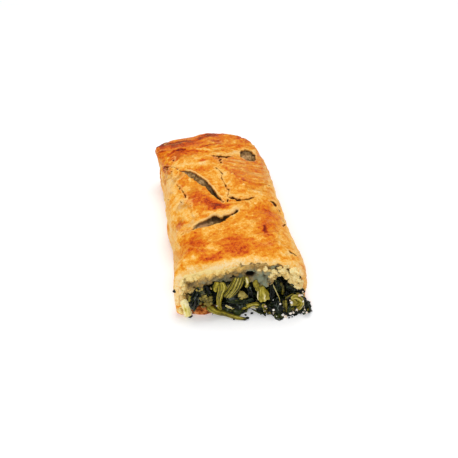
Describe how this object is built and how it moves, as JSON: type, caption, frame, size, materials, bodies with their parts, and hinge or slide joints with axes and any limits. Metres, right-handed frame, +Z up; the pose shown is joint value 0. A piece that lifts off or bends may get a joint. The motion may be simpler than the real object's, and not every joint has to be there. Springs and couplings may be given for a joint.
{
  "type": "spinach borek roll",
  "caption": "Baked pastry roll with a slashed golden crust, closed at one end and cut across at the other to show its chopped spinach filling.",
  "frame": {"origin": "middle of the whole piece's bounding box, on the surface that it rests on", "axes": "+Z up, +Y along the roll from the cut end to the closed end, +X to the right seen from the cut end"},
  "size_m": [0.0784, 0.1554, 0.0363],
  "materials": {
    "crust": "egg-washed baked crust, satin, with pale crumb where it is torn",
    "spinach": "wet, oily cooked leaves",
    "green_stem": "wet cooked stem",
    "pale_stalk": "soft, moist cooked stalk"
  },
  "bodies": {
    "root": {"pastry": "crust", "spinach_filling": "spinach", "fallen_stem": "green_stem", "corner_stem": "pale_stalk"}
  },
  "joints": []
}
